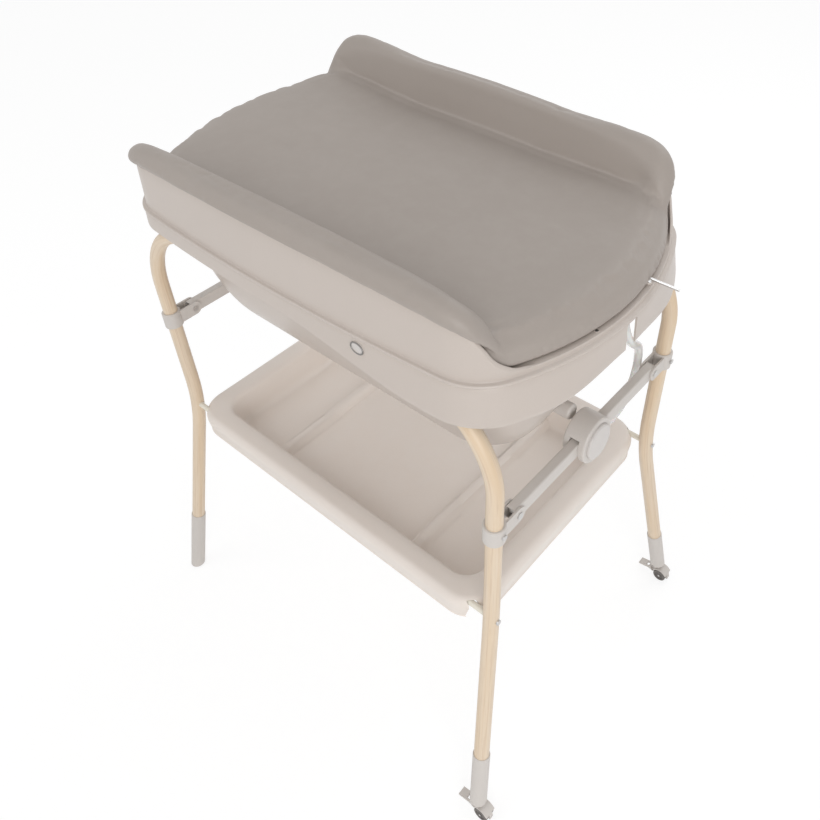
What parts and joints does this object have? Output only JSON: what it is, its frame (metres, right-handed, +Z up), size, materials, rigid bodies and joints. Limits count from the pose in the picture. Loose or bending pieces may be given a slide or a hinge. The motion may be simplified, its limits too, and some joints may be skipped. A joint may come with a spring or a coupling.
{
  "type": "changing table with bathtub",
  "caption": "Folding changing table with a bathtub under a flip-up padded changer, a storage tray between the legs and casters at one end.",
  "frame": {"origin": "on the floor, under the middle of the bathtub and midway between the legs", "axes": "+Z up, +X along the bathtub towards its drain and the casters, -Y to the front"},
  "size_m": [0.8875, 0.6278, 1.024],
  "materials": {
    "taupe_plastic": "satin",
    "grey_plastic": "satin",
    "light_plastic": "satin",
    "pad_cover": "matt",
    "wood_tube": "satin",
    "cream_steel": "gloss",
    "steel": "satin",
    "chrome": "polished",
    "tyre": "matt",
    "glide_rubber": "matt",
    "hose_tube": "gloss"
  },
  "bodies": {
    "back_frame": {"back_top_bar": "wood_tube", "back_knee_rod": "cream_steel", "back_screws": "steel", "back_collar_rivets": "steel", "back_glide": "glide_rubber", "back_left_leg": "wood_tube", "back_left_collar": "grey_plastic", "back_left_boot": "grey_plastic", "back_right_leg": "wood_tube", "back_right_collar": "grey_plastic", "back_right_boot": "grey_plastic"},
    "right_back_brace": {"back_right_arm": "grey_plastic", "right_hub_housing": "grey_plastic", "right_hub_pin": "steel"},
    "right_front_brace": {"front_right_arm": "grey_plastic"},
    "left_back_brace": {"back_left_arm": "grey_plastic", "left_hub_housing": "grey_plastic", "left_hub_pin": "steel"},
    "left_front_brace": {"front_left_arm": "grey_plastic"},
    "front_frame": {"front_top_bar": "wood_tube", "front_knee_rod": "cream_steel", "front_screws": "steel", "front_collar_rivets": "steel", "front_glide": "glide_rubber", "front_left_leg": "wood_tube", "front_left_collar": "grey_plastic", "front_left_boot": "grey_plastic", "front_right_leg": "wood_tube", "front_right_collar": "grey_plastic", "front_right_boot": "grey_plastic"},
    "right_button": {"right_hub_button": "light_plastic"},
    "left_button": {"left_hub_button": "light_plastic"},
    "tub": {"bathtub": "taupe_plastic", "rim_saddles": "taupe_plastic", "front_badge": "light_plastic", "hinge_plates": "grey_plastic", "hinge_pins": "steel", "drain_spigot": "grey_plastic", "drain_bezel": "light_plastic", "drain_hose": "hose_tube", "hose_clip": "grey_plastic", "hose_end_plug": "light_plastic"},
    "plug": {"drain_plug": "light_plastic"},
    "changer": {"changer_shell": "taupe_plastic", "changing_pad": "pad_cover", "hinge_leaves": "grey_plastic"},
    "peg": {"wire_peg": "chrome"},
    "tray": {"storage_tray": "taupe_plastic"},
    "front_caster": {"front_caster_body": "grey_plastic", "front_caster_pins": "steel"},
    "front_inner_wheel": {"front_caster_inner_wheel": "tyre"},
    "front_outer_wheel": {"front_caster_outer_wheel": "tyre"},
    "front_brake": {"front_brake_lever": "grey_plastic"},
    "back_caster": {"back_caster_body": "grey_plastic", "back_caster_pins": "steel"},
    "back_inner_wheel": {"back_caster_inner_wheel": "tyre"},
    "back_outer_wheel": {"back_caster_outer_wheel": "tyre"},
    "back_brake": {"back_brake_lever": "grey_plastic"}
  },
  "joints": [
    {"name": "stand_fold", "type": "hinge", "parent": "back_frame", "child": "right_back_brace", "pos_m": [0.37022, 0.18227, 0.634], "axis": [-1, 0, 0], "range_deg": [0, 60]},
    {"name": "right_hub_fold", "type": "hinge", "parent": "right_back_brace", "child": "right_front_brace", "pos_m": [0.37022, 0, 0.634], "axis": [1, 0, 0], "range_deg": [0, 120.01]},
    {"name": "front_frame_fold", "type": "hinge", "parent": "right_front_brace", "child": "front_frame", "pos_m": [0.37022, -0.18227, 0.634], "axis": [-1, 0, 0], "range_deg": [0, 60.01]},
    {"name": "left_brace_fold", "type": "hinge", "parent": "back_frame", "child": "left_back_brace", "pos_m": [-0.37022, 0.18227, 0.634], "axis": [-1, 0, 0], "range_deg": [0, 60.01]},
    {"name": "left_hub_fold", "type": "hinge", "parent": "left_back_brace", "child": "left_front_brace", "pos_m": [-0.37022, 0, 0.634], "axis": [1, 0, 0], "range_deg": [0, 120.01]},
    {"name": "tub_lift", "type": "slide", "parent": "back_frame", "child": "tub", "axis": [0, 0, 1], "range_m": [0, 0.39]},
    {"name": "tray_lift", "type": "slide", "parent": "back_frame", "child": "tray", "axis": [0, 0, 1], "range_m": [0, 0.215]},
    {"name": "changer_flip", "type": "hinge", "parent": "tub", "child": "changer", "pos_m": [0, 0.26234, 0.8863], "axis": [-1, 0, 0], "range_deg": [0, 95]},
    {"name": "peg_swing", "type": "hinge", "parent": "changer", "child": "peg", "pos_m": [0.412, 0.064, 0.899], "axis": [0, 0, -1], "range_deg": [0, 90]},
    {"name": "plug_pull", "type": "slide", "parent": "tub", "child": "plug", "axis": [-1, 0, 0], "range_m": [0, 0.012]},
    {"name": "right_button_press", "type": "slide", "parent": "right_back_brace", "child": "right_button", "axis": [-1, 0, 0], "range_m": [0, 0.0028], "stiffness_N_per_m": 1500, "springref_m": -0.002},
    {"name": "left_button_press", "type": "slide", "parent": "left_back_brace", "child": "left_button", "axis": [1, 0, 0], "range_m": [0, 0.0028], "stiffness_N_per_m": 1500, "springref_m": -0.002},
    {"name": "front_caster_swivel", "type": "hinge", "parent": "front_frame", "child": "front_caster", "pos_m": [0.38548, -0.29289, 0.038], "axis": [0, 0, 1], "continuous": true},
    {"name": "front_inner_wheel_roll", "type": "hinge", "parent": "front_caster", "child": "front_inner_wheel", "pos_m": [0.39648, -0.29289, 0.013], "axis": [0, 1, 0], "continuous": true},
    {"name": "front_outer_wheel_roll", "type": "hinge", "parent": "front_caster", "child": "front_outer_wheel", "pos_m": [0.39648, -0.29289, 0.013], "axis": [0, 1, 0], "continuous": true},
    {"name": "front_brake_press", "type": "hinge", "parent": "front_caster", "child": "front_brake", "pos_m": [0.37298, -0.29289, 0.017], "axis": [0, -1, 0], "range_deg": [0, 20]},
    {"name": "back_caster_swivel", "type": "hinge", "parent": "back_frame", "child": "back_caster", "pos_m": [0.38548, 0.29289, 0.038], "axis": [0, 0, 1], "continuous": true},
    {"name": "back_inner_wheel_roll", "type": "hinge", "parent": "back_caster", "child": "back_inner_wheel", "pos_m": [0.39648, 0.29289, 0.013], "axis": [0, 1, 0], "continuous": true},
    {"name": "back_outer_wheel_roll", "type": "hinge", "parent": "back_caster", "child": "back_outer_wheel", "pos_m": [0.39648, 0.29289, 0.013], "axis": [0, 1, 0], "continuous": true},
    {"name": "back_brake_press", "type": "hinge", "parent": "back_caster", "child": "back_brake", "pos_m": [0.37298, 0.29289, 0.017], "axis": [0, -1, 0], "range_deg": [0, 20]}
  ],
  "couplings": [
    {"joint": "right_hub_fold", "follows": "stand_fold", "ratio": 2},
    {"joint": "front_frame_fold", "follows": "stand_fold", "ratio": 1},
    {"joint": "left_brace_fold", "follows": "stand_fold", "ratio": 1},
    {"joint": "left_hub_fold", "follows": "stand_fold", "ratio": 2},
    {"joint": "tub_lift", "follows": "stand_fold", "m_per_rad": 0.372},
    {"joint": "tray_lift", "follows": "stand_fold", "m_per_rad": 0.205}
  ]
}
